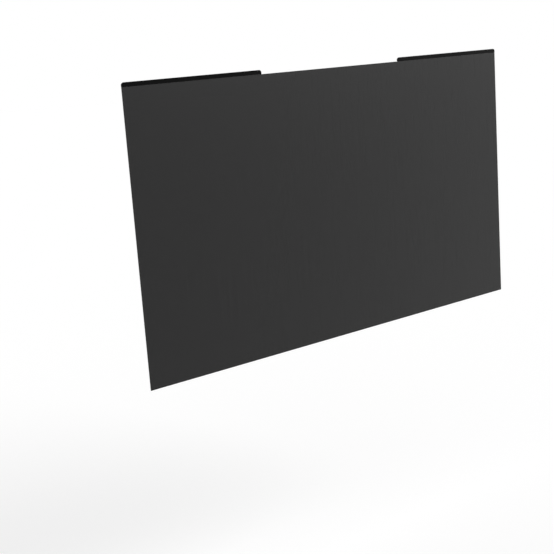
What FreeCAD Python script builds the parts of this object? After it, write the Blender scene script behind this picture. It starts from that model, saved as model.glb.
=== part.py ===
"""Privacy filter: a dark louvre film that hangs by two magnetic strips along its top edge.

Millimetres. +X runs to the right as seen from the front, +Y away from the viewer, +Z up.
The origin is the middle of the sheet's width and height, on the plane of the magnets' backs.
"""
import FreeCAD
import Part
import Sketcher
import os

# The film, cut to a 16:9 picture area of 23.8 inches, with an ear at each end of its top edge.
FILM_SIZES = {
    "sheet_width": 527.0,
    "sheet_height": 296.5,
    "sheet_thickness": 0.5,
    "sheet_corner_radius": 0.5,
    "ear_length": 166.0,
    "ear_height": 4.4,
    "ear_corner_radius": 2.8,
    "ear_root_radius": 0.3,
}

# The black strips on the front of the ears.
STRIP_SIZES = {
    "strip_thickness": 0.25,
    "strip_margin": 0.05,
    "strip_edge_radius": 0.1,
}

# The flexible magnets on the back of the ears, and the tape that bonds them.
MAGNET_SIZES = {
    "magnet_thickness": 1.0,
    "magnet_margin": 0.5,
    "magnet_edge_radius": 0.2,
    "tape_thickness": 0.1,
    "tape_margin": 0.7,
}

SIDES = {"left": -1, "right": 1}
TINY = 1e-6

# A sketch's own number for its level axis, which starts at the sketch's origin.
LEVEL_AXIS = -1

# A strip as it is first drawn. Its named distances then give it its true size.
ROUGH_STRIP = [(-2, 1), (2, 1), (2, 2), (-2, 2)]

# Places that several pieces share, from the sizes above.
TOP_EDGE_Z = "(Sizes.sheet_height / 2)"
EAR_CENTRE_X = "((Sizes.sheet_width - Sizes.ear_length) / 2)"
TAPE_BACK_Y = "(-Sizes.magnet_thickness)"
FILM_BACK_Y = "(-Sizes.magnet_thickness - Sizes.tape_thickness)"
STRIP_BACK_Y = "(-Sizes.magnet_thickness - Sizes.tape_thickness - Sizes.sheet_thickness)"


def make_sizes(doc):
    """The table of driving sizes: a name and a number on each row."""
    sizes = doc.addObject("Spreadsheet::Sheet", "Sizes")
    named = {**FILM_SIZES, **STRIP_SIZES, **MAGNET_SIZES}
    for row, (name, value) in enumerate(named.items(), start=1):
        sizes.set(f"A{row}", name)
        sizes.set(f"B{row}", str(value))
        sizes.setAlias(f"B{row}", name)
    doc.recompute()
    return sizes


def make_body(doc, label, x, y, z):
    """An empty body whose own origin lies at the given place in the part's frame."""
    body = doc.addObject("PartDesign::Body", label)
    body.Label = label
    for axis, place in (("x", x), ("y", y), ("z", z)):
        body.setExpression(f"Placement.Base.{axis}", place)
    return body


def start_of(line):
    """The start of a sketch's line, in the sketch's own numbers."""
    return line, 1


def end_of(line):
    """The end of a sketch's line, in the sketch's own numbers."""
    return line, 2


def draw_outline(body, name, corners):
    """A closed outline of straight lines on the body's upright plane, drawn as the viewer sees it."""
    sketch = body.newObject("Sketcher::SketchObject", name)
    upright = next(plane for plane in body.Origin.OriginFeatures if plane.Role == "XZ_Plane")
    sketch.AttachmentSupport = [(upright, "")]
    sketch.MapMode = "FlatFace"
    points = [FreeCAD.Vector(x, z, 0) for x, z in corners]
    for start, end in zip(points, points[1:] + points[:1]):
        sketch.addGeometry(Part.LineSegment(start, end), False)
    for line in range(len(points)):
        following = (line + 1) % len(points)
        sketch.addConstraint(Sketcher.Constraint("Coincident", *end_of(line), *start_of(following)))
    return sketch


def set_lines(sketch, direction, *lines):
    """Keeps lines of a sketch Horizontal or Vertical."""
    for line in lines:
        sketch.addConstraint(Sketcher.Constraint(direction, line))


def centre_line(sketch, line):
    """Keeps a line of a sketch level, with half of it on each side of the upright axis."""
    upright_axis = -2
    sketch.addConstraint(Sketcher.Constraint("Symmetric", *start_of(line), *end_of(line), upright_axis))


def put_on_base(sketch, line):
    """Keeps the start of a line of a sketch on the level axis."""
    sketch.addConstraint(Sketcher.Constraint("PointOnObject", *start_of(line), LEVEL_AXIS))


def set_distance(sketch, direction, name, start, end, size):
    """Ties a named distance between two points of a sketch to the sizes."""
    apart = sketch.getPoint(*end) - sketch.getPoint(*start)
    drawn = apart.x if direction == "DistanceX" else apart.y
    index = sketch.addConstraint(Sketcher.Constraint(direction, *start, *end, drawn))
    sketch.renameConstraint(index, name)
    sketch.setExpression(f"Constraints.{name}", size)


def draw_film(body, sizes):
    """The outline that the film is cut to: a rectangle with an ear at each end of its top edge."""
    side = sizes.sheet_width / 2
    inner_end = side - sizes.ear_length
    edge = sizes.sheet_height
    top = edge + sizes.ear_height
    right_half = [(side, 0), (side, top), (inner_end, top), (inner_end, edge)]
    left_half = [(-x, z) for x, z in reversed(right_half)]
    sketch = draw_outline(body, "film_outline", right_half + left_half)
    right, right_top, right_end, top_edge, left_end, left_top, left, base = range(8)
    set_lines(sketch, "Vertical", right, right_end, left_end, left)
    set_lines(sketch, "Horizontal", right_top, left_top)
    centre_line(sketch, base)
    centre_line(sketch, top_edge)
    sketch.addConstraint(Sketcher.Constraint("Horizontal", *end_of(right_top), *start_of(left_top)))
    put_on_base(sketch, base)
    set_distance(sketch, "DistanceX", "width", start_of(base), end_of(base), "Sizes.sheet_width")
    set_distance(sketch, "DistanceY", "height", end_of(base), start_of(top_edge), "Sizes.sheet_height")
    ear_ends = end_of(right_top), start_of(right_top)
    set_distance(sketch, "DistanceX", "ear_length", *ear_ends, "Sizes.ear_length")
    ear_levels = end_of(right_end), start_of(right_end)
    set_distance(sketch, "DistanceY", "ear_height", *ear_levels, "Sizes.ear_height")
    return sketch


def draw_strip(body, name, length, height, bottom):
    """A rectangle centred on the upright axis, with its lower side at bottom, or on the base if None."""
    sketch = draw_outline(body, name, ROUGH_STRIP)
    lower, right, upper, left = range(4)
    set_lines(sketch, "Horizontal", upper)
    set_lines(sketch, "Vertical", left, right)
    centre_line(sketch, lower)
    set_distance(sketch, "DistanceX", "length", start_of(lower), end_of(lower), length)
    set_distance(sketch, "DistanceY", "height", start_of(right), end_of(right), height)
    if bottom is None:
        put_on_base(sketch, lower)
    else:
        origin = start_of(LEVEL_AXIS)
        set_distance(sketch, "DistanceY", "bottom", origin, start_of(lower), bottom)
    return sketch


def pad(body, name, sketch, thickness):
    """A plate that grows from the sketch towards the viewer."""
    plate = body.newObject("PartDesign::Pad", name)
    plate.Profile = sketch
    plate.setExpression("Length", thickness)
    body.Document.recompute()
    return plate


def round_edges(body, name, wanted, radius):
    """Rounds the edges of the body so far whose bounding boxes pass the test."""
    base = body.Tip
    edges = [f"Edge{i}" for i, edge in enumerate(base.Shape.Edges, start=1) if wanted(edge.BoundBox)]
    fillet = body.newObject("PartDesign::Fillet", name)
    fillet.Base = (base, edges)
    fillet.setExpression("Radius", radius)
    body.Document.recompute()


def corner_at(height):
    """A test for the corners of a plate's outline at one height: its short edges along the depth."""
    return lambda box: max(box.XLength, box.ZLength) < TINY and abs(box.ZMin - height) < TINY


def edge_at(depth):
    """A test for the edges round a plate's face at one depth."""
    return lambda box: box.YLength < TINY and abs(box.YMin - depth) < TINY


def make_filter_sheet(doc, sizes):
    """The louvre film, with its ears rounded at the top and its other corners just broken."""
    body = make_body(doc, "filter_sheet", "0", FILM_BACK_Y, f"-{TOP_EDGE_Z}")
    pad(body, "film", draw_film(body, sizes), "Sizes.sheet_thickness")
    edge = sizes.sheet_height
    round_edges(body, "ear_corners", corner_at(edge + sizes.ear_height), "Sizes.ear_corner_radius")
    round_edges(body, "ear_roots", corner_at(edge), "Sizes.ear_root_radius")
    round_edges(body, "sheet_corners", corner_at(0), "Sizes.sheet_corner_radius")
    return body


def make_ear_layer(doc, label, side, back, margin, thickness, meets_edge=False):
    """A plate inside an ear's outline by a margin, or down to the sheet's top edge if it meets that."""
    body = make_body(doc, label, f"{SIDES[side]} * {EAR_CENTRE_X}", back, TOP_EDGE_Z)
    length = f"Sizes.ear_length - 2 * {margin}"
    height = f"Sizes.ear_height - {margin}" if meets_edge else f"Sizes.ear_height - 2 * {margin}"
    bottom = None if meets_edge else margin
    outline = draw_strip(body, f"{label}_outline", length, height, bottom)
    plate = pad(body, f"{label}_plate", outline, thickness)
    top = plate.Shape.BoundBox.ZMax
    round_edges(body, f"{label}_corners", corner_at(top), f"Sizes.ear_corner_radius - {margin}")
    return body


def make_mount_strip(doc, side, sizes):
    """The black strip on the front of an ear, down to the level of the sheet's top edge."""
    label = f"{side}_mount_strip"
    body = make_ear_layer(doc, label, side, STRIP_BACK_Y, "Sizes.strip_margin", "Sizes.strip_thickness",
                          meets_edge=True)
    round_edges(body, f"{label}_edges", edge_at(-sizes.strip_thickness), "Sizes.strip_edge_radius")
    return body


def make_bond_tape(doc, side):
    """The double-sided tape between an ear and its magnet."""
    label = f"{side}_bond_tape"
    return make_ear_layer(doc, label, side, TAPE_BACK_Y, "Sizes.tape_margin", "Sizes.tape_thickness")


def make_magnet_bar(doc, side):
    """The flexible magnet behind an ear. Its back is the face that holds the filter in place."""
    label = f"{side}_magnet_bar"
    body = make_ear_layer(doc, label, side, "0", "Sizes.magnet_margin", "Sizes.magnet_thickness")
    round_edges(body, f"{label}_edges", edge_at(0), "Sizes.magnet_edge_radius")
    return body


def check(doc, bodies):
    """Stops before anything is written if an object failed or a piece isn't one sound solid."""
    for thing in doc.Objects:
        if "Invalid" in thing.State or "Error" in thing.State:
            raise RuntimeError(f"{thing.Label} failed: {thing.State}")
    for body in bodies:
        shape = body.Shape
        if shape.isNull() or not shape.isValid() or len(shape.Solids) != 1:
            raise RuntimeError(f"{body.Label} isn't one valid solid")


def main():
    doc = FreeCAD.newDocument("privacy_filter")
    sizes = make_sizes(doc)
    bodies = [make_filter_sheet(doc, sizes)]
    for side in SIDES:
        bodies.append(make_mount_strip(doc, side, sizes))
        bodies.append(make_bond_tape(doc, side))
        bodies.append(make_magnet_bar(doc, side))
    doc.recompute()
    check(doc, bodies)

    os.makedirs("parts", exist_ok=True)
    for body in bodies:
        body.Shape.exportStep(f"parts/{body.Label}.step")
        print(f"{body.Label}: {body.Shape.Volume:.1f} mm3")


main()
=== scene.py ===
"""Finishes a louvre privacy filter and sets a plain white studio stage round it."""
import math

import bmesh
import bpy
from bpy.props import FloatProperty, FloatVectorProperty, PointerProperty
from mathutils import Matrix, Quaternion, Vector


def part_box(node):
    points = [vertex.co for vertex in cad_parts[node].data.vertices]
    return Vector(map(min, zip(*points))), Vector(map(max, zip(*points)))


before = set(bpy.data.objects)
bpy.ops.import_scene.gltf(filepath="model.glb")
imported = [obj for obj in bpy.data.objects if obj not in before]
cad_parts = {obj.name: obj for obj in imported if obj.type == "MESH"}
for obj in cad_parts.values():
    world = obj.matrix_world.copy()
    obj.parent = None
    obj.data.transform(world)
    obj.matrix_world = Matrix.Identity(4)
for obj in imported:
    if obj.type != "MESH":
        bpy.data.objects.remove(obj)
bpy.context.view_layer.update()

bl_info = {
    "name": "Privacy Filter Finishes",
    "version": (1, 0, 0),
    "blender": (4, 5, 0),
    "location": "View3D > Sidebar > Filter",
    "description": "Finishes a louvre privacy filter and sets its studio stage",
    "category": "Material",
}

WHITE = (1.0, 1.0, 1.0, 1.0)

# Enough sides for the floor's rim to look round.
FLOOR_SIDES = 96

# The louvres stand upright in the film, so each of them faces along the sheet.
ACROSS = (1.0, 0.0, 0.0)

# The blend at which a layer weight is 1 less the cosine of the view angle.
LINEAR_BLEND = 0.5

# Soft noise mostly lies between these values, so a finish is spread from the one to the other.
NOISE_LOW = 0.35
NOISE_HIGH = 0.65


class FilmFinish(bpy.types.PropertyGroup):
    """How the louvre film looks."""

    colour: FloatVectorProperty(
        name="Louvre Colour", description="Colour of the black louvres in the film",
        subtype="COLOR", default=(0.0016, 0.0016, 0.0017), min=0.0, max=1.0)
    streak_colour: FloatVectorProperty(
        name="Streak Colour", description="Colour of the film where its louvres lie further apart",
        subtype="COLOR", default=(0.0019, 0.0019, 0.0020), min=0.0, max=1.0)
    streak_width: FloatProperty(
        name="Streak Width", description="Width of the upright louvre streaks",
        unit="LENGTH", default=0.0008, min=0.0001)
    streak_length: FloatProperty(
        name="Streak Length", description="Length over which a louvre streak changes",
        unit="LENGTH", default=0.12, min=0.001)
    roughness: FloatProperty(
        name="Roughness", description="Roughness of the anti-glare face",
        subtype="FACTOR", default=0.28, min=0.0, max=1.0)
    roughness_spread: FloatProperty(
        name="Roughness Spread", description="How far the roughness departs from its middle in the streaks",
        subtype="FACTOR", default=0.007, min=0.0, max=0.5)
    reflection_index: FloatProperty(
        name="Reflection Index", description="Refractive index of the hard coat on the face",
        default=1.70, min=1.0, max=2.0)
    reflection_tint: FloatVectorProperty(
        name="Reflection Tint", description="Share of the straight reflection that the coat leaves",
        subtype="COLOR", default=(0.325, 0.325, 0.325), min=0.0, max=1.0)
    grain_size: FloatProperty(
        name="Grain Size", description="Size of the grains in the anti-glare face",
        unit="LENGTH", default=0.0005, min=0.00005)
    grain_depth: FloatProperty(
        name="Grain Depth", description="Depth of the grains in the anti-glare face",
        unit="LENGTH", default=0.00001, min=0.0)
    pass_head_on: FloatProperty(
        name="Passed Head On", description="Share of light that each face lets through straight ahead",
        subtype="FACTOR", default=0.36, min=0.0, max=1.0)
    pass_aslant: FloatProperty(
        name="Passed Aslant", description="Share of light that each face lets through from the side",
        subtype="FACTOR", default=0.085, min=0.0, max=1.0)
    closing_angle: FloatProperty(
        name="Closing Angle", description="Sideways view angle at which the louvres close",
        subtype="ANGLE", default=math.radians(30.0), min=0.0, max=math.radians(89.0))


class StripFinish(bpy.types.PropertyGroup):
    """How the black mounting strips look."""

    colour: FloatVectorProperty(
        name="Strip Colour", description="Colour of the satin black strips",
        subtype="COLOR", default=(0.0004, 0.0004, 0.0004), min=0.0, max=1.0)
    handled_colour: FloatVectorProperty(
        name="Handled Colour", description="Colour of the strips where fingers have polished them a little",
        subtype="COLOR", default=(0.0008, 0.0008, 0.0008), min=0.0, max=1.0)
    handled_size: FloatVectorProperty(
        name="Handled Size", description="Size of the polished places along, through and up the strips",
        subtype="XYZ_LENGTH", unit="LENGTH", default=(0.03, 0.03, 0.004), min=0.0001)
    roughness: FloatProperty(
        name="Roughness", description="Roughness of the satin strips",
        subtype="FACTOR", default=0.30, min=0.0, max=1.0)
    roughness_spread: FloatProperty(
        name="Roughness Spread", description="How far the roughness departs from its middle",
        subtype="FACTOR", default=0.06, min=0.0, max=0.5)
    specular: FloatProperty(
        name="Specular Level", description="Strength of the strips' dull reflection",
        subtype="FACTOR", default=0.13, min=0.0, max=1.0)
    reflection_tint: FloatVectorProperty(
        name="Reflection Tint", description="Share of the straight reflection that the satin face leaves",
        subtype="COLOR", default=(0.35, 0.35, 0.35), min=0.0, max=1.0)
    grain_size: FloatProperty(
        name="Grain Size", description="Size of the strips' fine grain",
        unit="LENGTH", default=0.0004, min=0.00005)
    grain_depth: FloatProperty(
        name="Grain Depth", description="Depth of the strips' fine grain",
        unit="LENGTH", default=0.00002, min=0.0)


class MagnetFinish(bpy.types.PropertyGroup):
    """How the flexible magnets look."""

    colour: FloatVectorProperty(
        name="Rubber Colour", description="Colour of the ferrite-filled rubber",
        subtype="COLOR", default=(0.0105, 0.0100, 0.0095), min=0.0, max=1.0)
    fleck_colour: FloatVectorProperty(
        name="Fleck Colour", description="Colour of the ferrite flecks in the rubber",
        subtype="COLOR", default=(0.0230, 0.0215, 0.0200), min=0.0, max=1.0)
    fleck_size: FloatProperty(
        name="Fleck Size", description="Size of the ferrite flecks",
        unit="LENGTH", default=0.0006, min=0.00005)
    roller_pitch: FloatProperty(
        name="Roller Pitch", description="Spacing of the fine marks that rolling leaves along the magnets",
        unit="LENGTH", default=0.0005, min=0.00005)
    roller_length: FloatProperty(
        name="Roller Length", description="Length of the fine marks that rolling leaves",
        unit="LENGTH", default=0.03, min=0.001)
    roller_depth: FloatProperty(
        name="Roller Depth", description="Depth of the fine marks that rolling leaves",
        unit="LENGTH", default=0.00003, min=0.0)
    roughness: FloatProperty(
        name="Roughness", description="Roughness of the rubber",
        subtype="FACTOR", default=0.62, min=0.0, max=1.0)
    roughness_spread: FloatProperty(
        name="Roughness Spread", description="How far the roughness departs from its middle",
        subtype="FACTOR", default=0.08, min=0.0, max=0.5)
    specular: FloatProperty(
        name="Specular Level", description="Strength of the rubber's dull reflection",
        subtype="FACTOR", default=0.25, min=0.0, max=1.0)


class TapeFinish(bpy.types.PropertyGroup):
    """How the double-sided tape looks."""

    colour: FloatVectorProperty(
        name="Tape Colour", description="Colour of the black acrylic tape",
        subtype="COLOR", default=(0.014, 0.014, 0.015), min=0.0, max=1.0)
    cell_colour: FloatVectorProperty(
        name="Cell Colour", description="Colour of the tape's foam cells",
        subtype="COLOR", default=(0.026, 0.026, 0.027), min=0.0, max=1.0)
    cell_size: FloatProperty(
        name="Cell Size", description="Size of the tape's foam cells",
        unit="LENGTH", default=0.0004, min=0.00005)
    cell_depth: FloatProperty(
        name="Cell Depth", description="Depth of the tape's foam cells",
        unit="LENGTH", default=0.00002, min=0.0)
    roughness: FloatProperty(
        name="Roughness", description="Roughness of the tape",
        subtype="FACTOR", default=0.55, min=0.0, max=1.0)
    roughness_spread: FloatProperty(
        name="Roughness Spread", description="How far the roughness departs from its middle",
        subtype="FACTOR", default=0.08, min=0.0, max=0.5)


class StageSettings(bpy.types.PropertyGroup):
    """The floor, the light and the camera."""

    floor_drop: FloatProperty(
        name="Floor Drop", description="Height of the sheet's lower edge above the floor",
        unit="LENGTH", default=0.25, min=0.0)
    floor_radius: FloatProperty(
        name="Floor Radius", description="Radius of the round floor",
        unit="LENGTH", default=12.0, min=1.0)
    floor_colour: FloatVectorProperty(
        name="Floor Colour", description="Colour of the pale floor",
        subtype="COLOR", default=(0.80, 0.80, 0.80), min=0.0, max=1.0)
    floor_lift: FloatProperty(
        name="Floor Lift", description="Light that the floor adds where it is seen, to match the backdrop",
        default=0.29, min=0.0)
    ambient: FloatProperty(
        name="Ambient", description="Strength of the light from all round",
        default=0.55, min=0.0)
    backdrop: FloatProperty(
        name="Backdrop", description="Brightness of the white backdrop where it is seen or mirrored",
        default=1.0, min=0.0)
    key_strength: FloatProperty(
        name="Key Strength", description="Strength of the broad key light",
        default=2.13, min=0.0)
    key_azimuth: FloatProperty(
        name="Key Azimuth", description="Direction that the key light comes from, round the filter",
        subtype="ANGLE", default=math.radians(45.0))
    key_elevation: FloatProperty(
        name="Key Elevation", description="Height of the key light above the horizon",
        subtype="ANGLE", default=math.radians(30.0))
    key_width: FloatProperty(
        name="Key Width", description="Angle that the broad key light covers",
        subtype="ANGLE", default=math.radians(50.0))
    camera_azimuth: FloatProperty(
        name="Camera Azimuth", description="Direction that the camera looks from, round the filter",
        subtype="ANGLE", default=math.radians(-37.93))
    camera_elevation: FloatProperty(
        name="Camera Elevation", description="Height of the camera above the horizon",
        subtype="ANGLE", default=math.radians(12.02))
    camera_roll: FloatProperty(
        name="Camera Roll", description="Lean of the camera about its own line of sight",
        subtype="ANGLE", default=math.radians(-4.08))
    camera_distance: FloatProperty(
        name="Camera Distance", description="Distance from the camera to the point that it looks at",
        unit="LENGTH", default=1.1751, min=0.1)
    aim_across: FloatProperty(
        name="Aim Across", description="Place to the right of the sheet's middle that the camera looks at",
        unit="LENGTH", default=-0.0961)
    aim_up: FloatProperty(
        name="Aim Up", description="Place above the sheet's middle that the camera looks at",
        unit="LENGTH", default=-0.0644)
    lens: FloatProperty(
        name="Lens", description="Focal length of the camera",
        unit="CAMERA", default=71.88, min=1.0)


def add(tree, kind, inputs=None, **settings):
    """Adds a node. Its inputs are given as values, or as the sockets that feed them."""
    node = tree.nodes.new(kind)
    for name, value in settings.items():
        setattr(node, name, value)
    for name, value in (inputs or {}).items():
        if isinstance(value, bpy.types.NodeSocket):
            tree.links.new(value, node.inputs[name])
        else:
            node.inputs[name].default_value = value
    return node


def noise(tree, cell, detail=2.0):
    """Soft noise whose features have about the given size along each axis, in metres."""
    place = add(tree, "ShaderNodeTexCoord").outputs["Object"]
    per_metre = [1.0 / size for size in cell]
    cells = add(tree, "ShaderNodeMapping", {"Vector": place, "Scale": per_metre}).outputs["Vector"]
    return add(tree, "ShaderNodeTexNoise", {"Vector": cells, "Scale": 1.0, "Detail": detail}).outputs["Fac"]


def tint(tree, value, low_colour, high_colour):
    """A colour that goes from one to the other over the spread of some noise."""
    ramp = add(tree, "ShaderNodeValToRGB", {"Fac": value})
    stops = zip(ramp.color_ramp.elements, (NOISE_LOW, NOISE_HIGH), (low_colour, high_colour))
    for stop, position, colour in stops:
        stop.position = position
        stop.color = (*colour, 1.0)
    return ramp.outputs["Color"]


def vary(tree, value, middle, spread):
    """A number that departs from its middle by up to a spread, over the spread of some noise."""
    noise_range = {"From Min": NOISE_LOW, "From Max": NOISE_HIGH}
    limits = {"To Min": middle - spread, "To Max": middle + spread}
    return add(tree, "ShaderNodeMapRange", {"Value": value, **noise_range, **limits}).outputs["Result"]


def relief(tree, height, depth):
    """A normal that is roughened by some noise to a depth in metres."""
    bumps = {"Height": height, "Strength": 1.0, "Distance": depth}
    return add(tree, "ShaderNodeBump", bumps).outputs["Normal"]


def new_finish(name, make_shader, look):
    """A material whose surface is the shader that the given function builds."""
    material = bpy.data.materials.new(name)
    material.use_nodes = True
    tree = material.node_tree
    tree.nodes.clear()
    shader = make_shader(tree, look)
    add(tree, "ShaderNodeOutputMaterial", {"Surface": shader.outputs[0]})
    return material


def louvre_cover(tree, look):
    """The share of a face that its louvres cover: least straight ahead, and most seen from the side."""
    to_world = {"vector_type": "NORMAL", "convert_from": "OBJECT", "convert_to": "WORLD"}
    louvre_face = add(tree, "ShaderNodeVectorTransform", {"Vector": ACROSS}, **to_world).outputs["Vector"]
    sideways = add(tree, "ShaderNodeLayerWeight", {"Blend": LINEAR_BLEND, "Normal": louvre_face})
    covers = {
        "From Min": 1.0 - math.sin(look.closing_angle),
        "From Max": 1.0,
        "To Min": 1.0 - look.pass_aslant,
        "To Max": 1.0 - look.pass_head_on,
    }
    closing = {"Value": sideways.outputs["Facing"], **covers}
    return add(tree, "ShaderNodeMapRange", closing, interpolation_type="SMOOTHSTEP").outputs["Result"]


def film_shader(tree, look):
    """Near-black louvres behind an anti-glare face, which let some light through straight ahead."""
    streaks = noise(tree, (look.streak_width, look.streak_length, look.streak_length))
    grain = noise(tree, (look.grain_size,) * 3)
    return add(tree, "ShaderNodeBsdfPrincipled", {
        "Base Color": tint(tree, streaks, look.colour, look.streak_colour),
        "Roughness": vary(tree, streaks, look.roughness, look.roughness_spread),
        "IOR": look.reflection_index,
        "Specular Tint": (*look.reflection_tint, 1.0),
        "Alpha": louvre_cover(tree, look),
        "Normal": relief(tree, grain, look.grain_depth),
    })


def strip_shader(tree, look):
    """Satin black with a fine grain, polished a little where it is handled."""
    handled = noise(tree, look.handled_size, detail=3.0)
    grain = noise(tree, (look.grain_size,) * 3)
    return add(tree, "ShaderNodeBsdfPrincipled", {
        "Base Color": tint(tree, handled, look.colour, look.handled_colour),
        "Roughness": vary(tree, grain, look.roughness, look.roughness_spread),
        "Specular IOR Level": look.specular,
        "Specular Tint": (*look.reflection_tint, 1.0),
        "Normal": relief(tree, grain, look.grain_depth),
    })


def magnet_shader(tree, look):
    """Ferrite-filled rubber: dull flecks, and fine marks along its length from the rollers."""
    flecks = noise(tree, (look.fleck_size,) * 3, detail=4.0)
    marks = noise(tree, (look.roller_length, look.roller_pitch, look.roller_pitch))
    return add(tree, "ShaderNodeBsdfPrincipled", {
        "Base Color": tint(tree, flecks, look.colour, look.fleck_colour),
        "Roughness": vary(tree, marks, look.roughness, look.roughness_spread),
        "Specular IOR Level": look.specular,
        "Normal": relief(tree, marks, look.roller_depth),
    })


def tape_shader(tree, look):
    """Black acrylic foam, whose cells show at its cut edge."""
    cells = noise(tree, (look.cell_size,) * 3, detail=3.0)
    return add(tree, "ShaderNodeBsdfPrincipled", {
        "Base Color": tint(tree, cells, look.colour, look.cell_colour),
        "Roughness": vary(tree, cells, look.roughness, look.roughness_spread),
        "Normal": relief(tree, cells, look.cell_depth),
    })


def dress(nodes, material):
    """Gives construction pieces a material in place of their plain one."""
    for name in nodes:
        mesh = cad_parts[name].data
        mesh.materials.clear()
        mesh.materials.append(material)


def seen_directly(tree):
    """1 for a ray that shows its surface in the picture, in a reflection or through glass, and else 0."""
    path = add(tree, "ShaderNodeLightPath")
    seen = path.outputs["Is Camera Ray"]
    for ray in ("Is Glossy Ray", "Is Transmission Ray"):
        seen = add(tree, "ShaderNodeMath", {0: seen, 1: path.outputs[ray]}, operation="MAXIMUM").outputs[0]
    return seen


def from_direction(azimuth, elevation):
    """The unit vector that points from the filter to an azimuth and elevation, with 0, 0 in front of it."""
    level = math.cos(elevation)
    return Vector((math.sin(azimuth) * level, -math.cos(azimuth) * level, math.sin(elevation)))


def make_floor(stage):
    """A round pale floor below the filter, which keeps its shadow and else comes up to white."""
    sheet_low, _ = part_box("filter_sheet")
    mesh = bpy.data.meshes.new("floor")
    disc = bmesh.new()
    bmesh.ops.create_circle(disc, cap_ends=True, radius=stage.floor_radius, segments=FLOOR_SIDES)
    disc.to_mesh(mesh)
    disc.free()
    floor = bpy.data.objects.new("floor", mesh)
    floor.location = (0.0, 0.0, sheet_low.z - stage.floor_drop)
    bpy.context.scene.collection.objects.link(floor)
    mesh.materials.append(new_finish("floor_paint", floor_shader, stage))


def floor_shader(tree, stage):
    """Pale matt paint, lifted to white where it is seen, so that it has no edge against the backdrop."""
    paint = add(tree, "ShaderNodeBsdfDiffuse", {"Color": (*stage.floor_colour, 1.0)})
    factors = {0: seen_directly(tree), 1: stage.floor_lift}
    amount = add(tree, "ShaderNodeMath", factors, operation="MULTIPLY").outputs[0]
    lift = add(tree, "ShaderNodeEmission", {"Color": WHITE, "Strength": amount})
    return add(tree, "ShaderNodeAddShader", {0: paint.outputs[0], 1: lift.outputs[0]})


def make_world(stage):
    """Even light from all round, and a white backdrop where it is seen or mirrored."""
    world = bpy.data.worlds.new("studio")
    world.use_nodes = True
    tree = world.node_tree
    tree.nodes.clear()
    ambient = add(tree, "ShaderNodeBackground", {"Color": WHITE, "Strength": stage.ambient}).outputs[0]
    backdrop = add(tree, "ShaderNodeBackground", {"Color": WHITE, "Strength": stage.backdrop}).outputs[0]
    shown = add(tree, "ShaderNodeMixShader", {0: seen_directly(tree), 1: ambient, 2: backdrop})
    add(tree, "ShaderNodeOutputWorld", {"Surface": shown.outputs[0]})
    bpy.context.scene.world = world


def make_key_light(stage):
    """One broad, soft light from above and to one side."""
    lamp = bpy.data.lights.new("key_light", "SUN")
    lamp.energy = stage.key_strength
    lamp.angle = stage.key_width
    key = bpy.data.objects.new("key_light", lamp)
    direction = from_direction(stage.key_azimuth, stage.key_elevation)
    key.location = direction
    key.rotation_mode = "QUATERNION"
    key.rotation_quaternion = direction.to_track_quat("Z", "Y")
    bpy.context.scene.collection.objects.link(key)


def make_camera(stage):
    """The camera, aimed at a point on the sheet's front from its own side, with a slight lean."""
    sheet_low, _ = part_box("filter_sheet")
    aim = Vector((stage.aim_across, sheet_low.y, stage.aim_up))
    back = from_direction(stage.camera_azimuth, stage.camera_elevation)
    lens = bpy.data.cameras.new("camera")
    lens.lens = stage.lens
    camera = bpy.data.objects.new("camera", lens)
    camera.location = aim + back * stage.camera_distance
    camera.rotation_mode = "QUATERNION"
    lean = Quaternion((0.0, 0.0, 1.0), stage.camera_roll)
    camera.rotation_quaternion = (-back).to_track_quat("-Z", "Y") @ lean
    bpy.context.scene.collection.objects.link(camera)
    bpy.context.scene.camera = camera


class FinishFilm(bpy.types.Operator):
    """Finish the louvre film"""

    bl_idname = "privacy_filter.finish_film"
    bl_label = "Finish Film"

    def execute(self, context):
        dress(["filter_sheet"], new_finish("film_antiglare", film_shader, context.scene.filter_film))
        return {"FINISHED"}


class FinishStrips(bpy.types.Operator):
    """Finish the black strips on the front of the ears"""

    bl_idname = "privacy_filter.finish_strips"
    bl_label = "Finish Strips"

    def execute(self, context):
        satin = new_finish("strip_satin", strip_shader, context.scene.filter_strips)
        dress(["left_mount_strip", "right_mount_strip"], satin)
        return {"FINISHED"}


class FinishMagnets(bpy.types.Operator):
    """Finish the flexible magnets behind the ears"""

    bl_idname = "privacy_filter.finish_magnets"
    bl_label = "Finish Magnets"

    def execute(self, context):
        rubber = new_finish("magnet_ferrite", magnet_shader, context.scene.filter_magnets)
        dress(["left_magnet_bar", "right_magnet_bar"], rubber)
        return {"FINISHED"}


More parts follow.
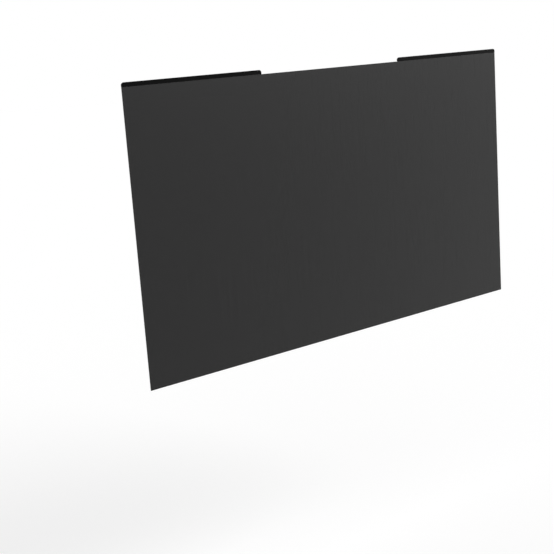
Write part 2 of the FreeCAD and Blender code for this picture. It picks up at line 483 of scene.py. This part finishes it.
class FinishTapes(bpy.types.Operator):
    """Finish the tape between the ears and the magnets"""

    bl_idname = "privacy_filter.finish_tapes"
    bl_label = "Finish Tapes"

    def execute(self, context):
        acrylic = new_finish("tape_foam", tape_shader, context.scene.filter_tapes)
        dress(["left_bond_tape", "right_bond_tape"], acrylic)
        return {"FINISHED"}


class SetStage(bpy.types.Operator):
    """Set the floor, the light and the camera"""

    bl_idname = "privacy_filter.set_stage"
    bl_label = "Set Stage"

    def execute(self, context):
        stage = context.scene.filter_stage
        make_floor(stage)
        make_world(stage)
        make_key_light(stage)
        make_camera(stage)
        context.scene.view_settings.view_transform = "Standard"
        return {"FINISHED"}


class FilterPanel(bpy.types.Panel):
    """Lists the filter's finishes and its stage"""

    bl_idname = "VIEW3D_PT_privacy_filter"
    bl_label = "Privacy Filter"
    bl_space_type = "VIEW_3D"
    bl_region_type = "UI"
    bl_category = "Filter"

    def draw(self, context):
        for operator, group, settings in SECTIONS:
            box = self.layout.box()
            for name in settings.__annotations__:
                box.prop(getattr(context.scene, group), name)
            box.operator(operator.bl_idname)


SECTIONS = (
    (FinishFilm, "filter_film", FilmFinish),
    (FinishStrips, "filter_strips", StripFinish),
    (FinishMagnets, "filter_magnets", MagnetFinish),
    (FinishTapes, "filter_tapes", TapeFinish),
    (SetStage, "filter_stage", StageSettings),
)


def register():
    for operator, group, settings in SECTIONS:
        bpy.utils.register_class(settings)
        bpy.utils.register_class(operator)
        setattr(bpy.types.Scene, group, PointerProperty(type=settings))
    bpy.utils.register_class(FilterPanel)


def unregister():
    bpy.utils.unregister_class(FilterPanel)
    for operator, group, settings in reversed(SECTIONS):
        delattr(bpy.types.Scene, group)
        bpy.utils.unregister_class(operator)
        bpy.utils.unregister_class(settings)


def main():
    register()
    bpy.ops.privacy_filter.finish_film()
    bpy.ops.privacy_filter.finish_strips()
    bpy.ops.privacy_filter.finish_magnets()
    bpy.ops.privacy_filter.finish_tapes()
    bpy.ops.privacy_filter.set_stage()


if __name__ == "__main__":
    main()
